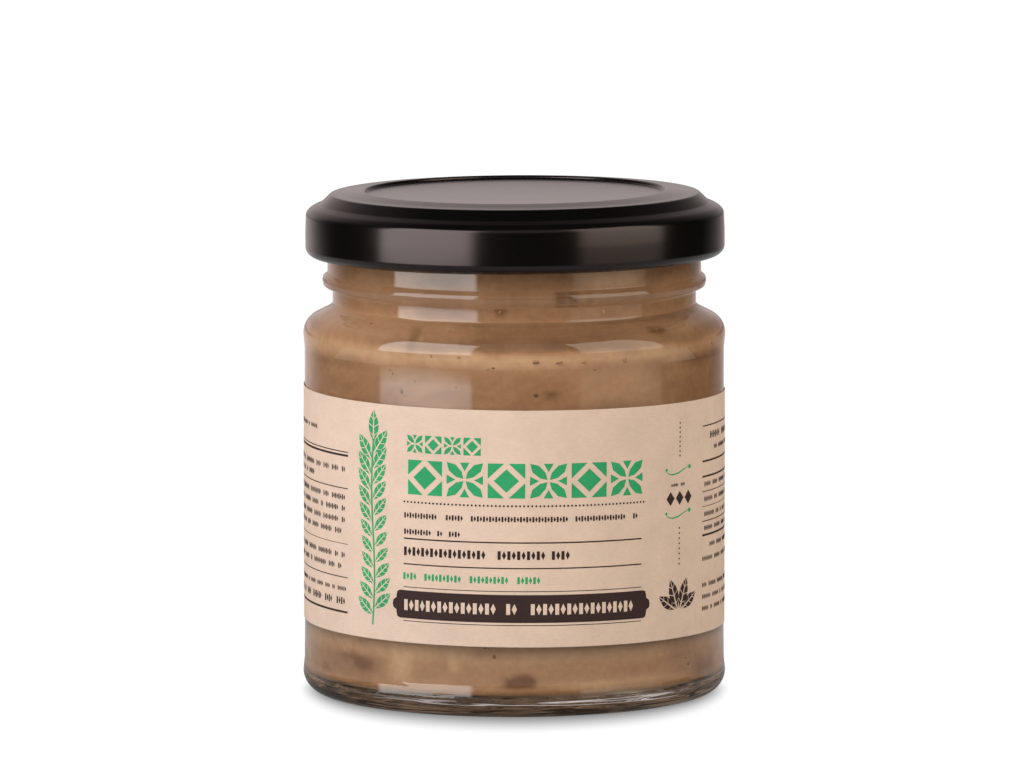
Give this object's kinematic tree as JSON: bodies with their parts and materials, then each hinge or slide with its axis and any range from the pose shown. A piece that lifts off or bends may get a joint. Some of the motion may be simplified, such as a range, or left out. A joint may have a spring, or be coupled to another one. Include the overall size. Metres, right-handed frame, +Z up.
{
  "type": "jar of baba ganoush",
  "caption": "Clear glass jar filled with aubergine puree, with a wrapped paper label and a dished black twist-off lid.",
  "frame": {"origin": "centre of the standing ring, on the surface that the jar rests on", "axes": "+Z up along the jar's axis, -Y towards the middle of the label's front"},
  "size_m": [0.0664, 0.0664, 0.079],
  "materials": {
    "glass": "clear blown glass, fire polished",
    "puree": "moist smooth puree with dark specks of roasted skin",
    "paper": "uncoated natural paper, printed in green and dark brown",
    "lid_enamel": "black gloss enamel on tinplate"
  },
  "bodies": {
    "root": {"jar": "glass", "baba_ganoush": "puree", "label": "paper", "lid": "lid_enamel"}
  },
  "joints": []
}
